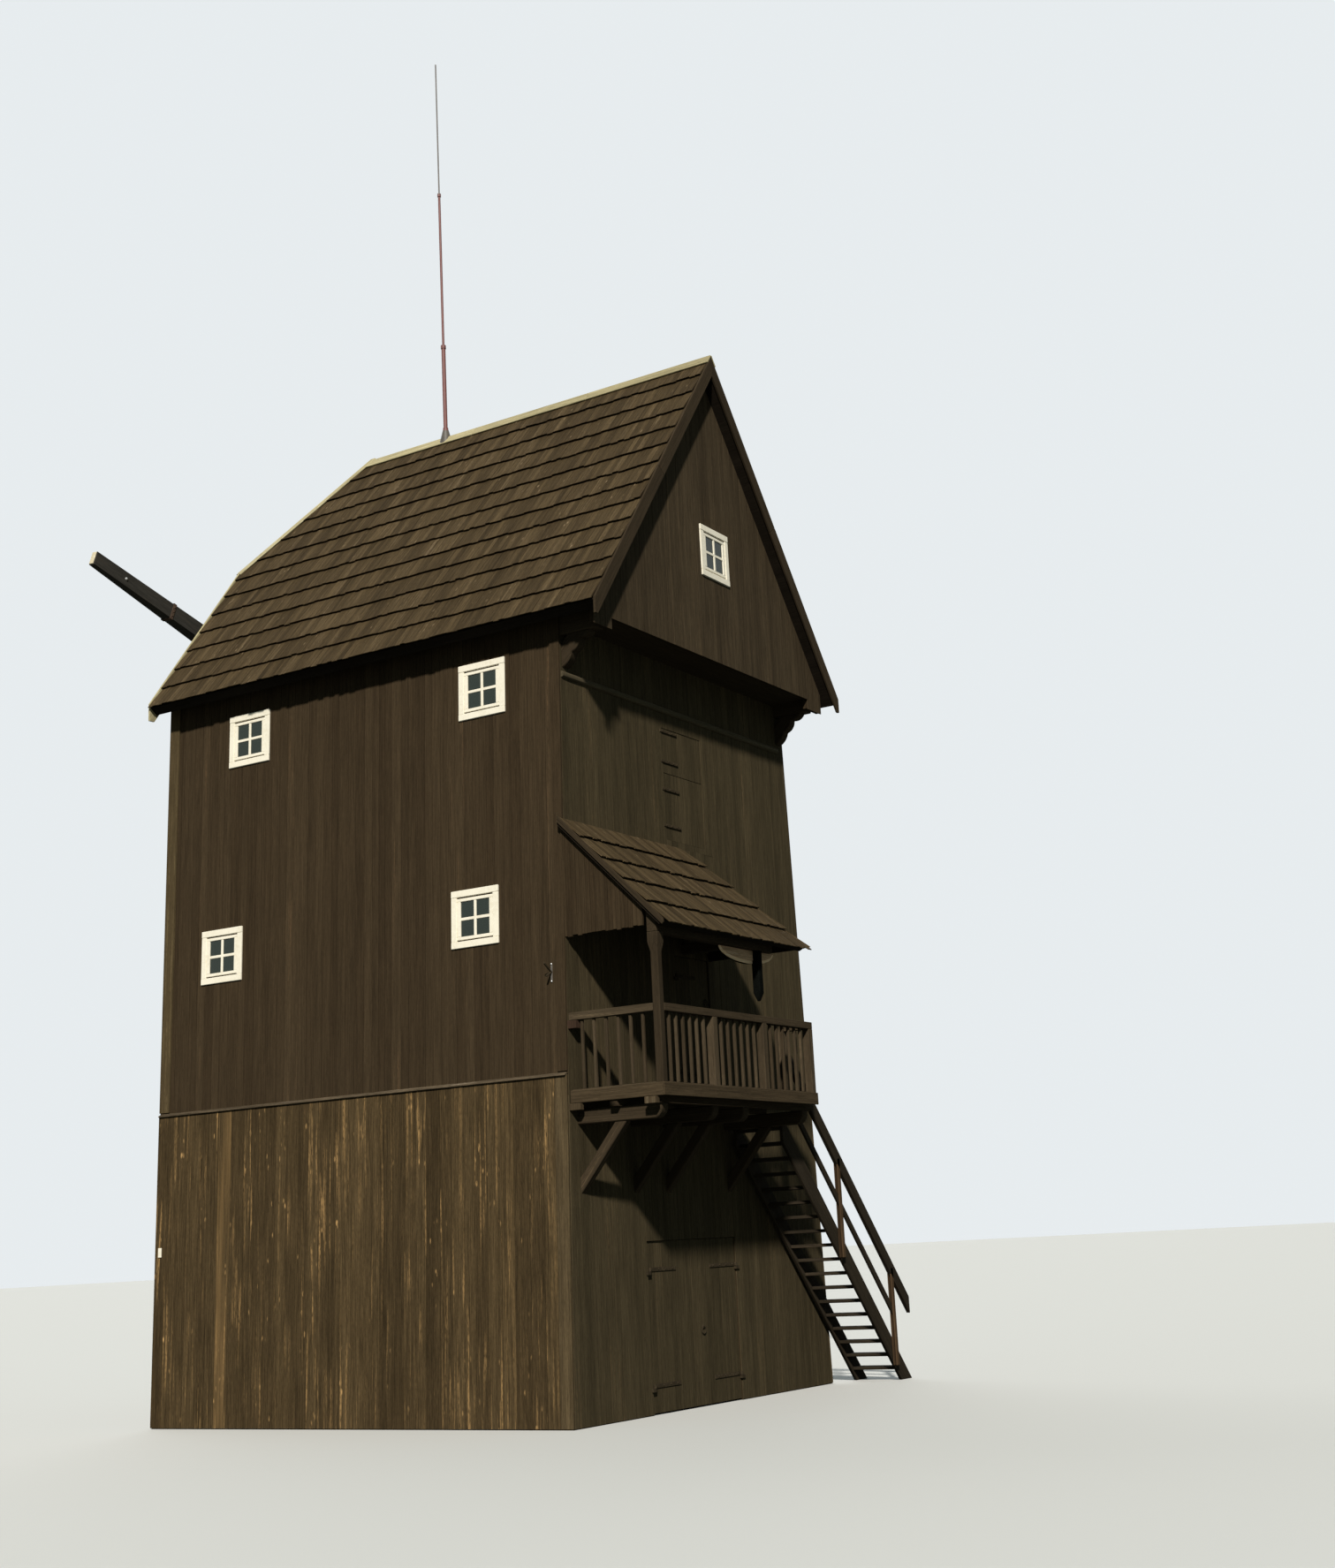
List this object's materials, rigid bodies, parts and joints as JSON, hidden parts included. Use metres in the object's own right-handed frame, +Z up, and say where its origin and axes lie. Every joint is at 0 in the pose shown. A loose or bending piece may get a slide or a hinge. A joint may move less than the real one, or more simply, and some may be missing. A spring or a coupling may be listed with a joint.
{
  "type": "post mill windmill",
  "caption": "Boarded timber windmill with a steep shingled roof, jettied tail gable, roofed balcony porch, outside stair and one sail stock on a turning windshaft.",
  "frame": {"origin": "middle of the body on the ground, on the underside of the ground floor", "axes": "+Z up; the tail wall with the porch faces -Y, the sails are on the +Y side, the long walls face -X and +X"},
  "size_m": [7.0973, 8.0295, 18.12],
  "materials": {
    "dark_boards": "dark stained boards",
    "skirt_boards": "weathered brown boards",
    "shingles": "rough board shingles",
    "timber": "stained timber",
    "door_boards": "stained boards",
    "floor_boards": "bare boards",
    "white_paint": "cream paint on wood",
    "glass": "clear",
    "iron": "blackened",
    "stock_paint": "weathered",
    "rod_paint": "red-brown primer"
  },
  "bodies": {
    "mill": {"left_wall_base": "skirt_boards", "right_wall_base": "skirt_boards", "rear_wall_door_piers": "skirt_boards", "rear_wall_band": "skirt_boards", "front_wall_base": "skirt_boards", "left_wall_upper": "dark_boards", "right_wall_upper": "dark_boards", "rear_wall_porch_piers": "dark_boards", "rear_wall_upper": "dark_boards", "front_wall_upper": "dark_boards", "front_gable_wall": "dark_boards", "rear_gable_wall": "dark_boards", "porch_cheek": "dark_boards", "wall_plates": "timber", "jetty_floor": "timber", "gable_brackets": "timber", "moulding_strip": "timber", "drip_boards": "timber", "ground_floor": "floor_boards", "entrance_floor": "floor_boards", "upper_floor": "floor_boards", "attic_floor": "floor_boards", "roof_left_slope": "shingles", "roof_right_slope": "shingles", "roof_hip": "shingles", "porch_roof_front": "shingles", "porch_roof_side": "shingles", "ridge_boards": "timber", "verge_boards": "timber", "window_frames": "white_paint", "window_glass": "glass", "hatch_leaves": "door_boards", "door_pintles": "iron", "hatch_straps": "iron", "wall_hook": "iron", "balcony_beams": "timber", "balcony_struts": "timber", "balcony_joists": "timber", "balcony_floor": "timber", "balcony_front_railing": "timber", "balcony_left_railing": "timber", "balcony_end_railing": "timber", "porch_plates": "timber", "porch_post": "timber", "porch_pendant": "timber", "stair_stringers": "timber", "stair_treads": "timber", "stair_handrail": "timber", "shaft_beams": "timber", "lightning_rod": "rod_paint"},
    "rotor": {"windshaft": "timber", "sail_stock": "stock_paint"},
    "ground_door_left": {"ground_door_left": "door_boards", "ground_door_left_straps": "iron"},
    "ground_door_right": {"ground_door_right": "door_boards", "ground_door_right_straps": "iron"},
    "porch_door": {"porch_door": "door_boards", "porch_door_straps": "iron"}
  },
  "joints": [
    {"name": "windshaft_turn", "type": "hinge", "parent": "mill", "child": "rotor", "pos_m": [0, 3.5, 9.55], "axis": [0, 0.9962, 0.0872], "continuous": true},
    {"name": "ground_door_left_swing", "type": "hinge", "parent": "mill", "child": "ground_door_left", "pos_m": [-1.284, -2.99, 0.9], "axis": [0, 0, -1], "range_deg": [0, 110]},
    {"name": "ground_door_right_swing", "type": "hinge", "parent": "mill", "child": "ground_door_right", "pos_m": [0.574, -2.99, 0.9], "axis": [0, 0, 1], "range_deg": [0, 110]},
    {"name": "porch_door_swing", "type": "hinge", "parent": "mill", "child": "porch_door", "pos_m": [-0.404, -2.99, 4.3], "axis": [0, 0, -1], "range_deg": [0, 105]}
  ]
}
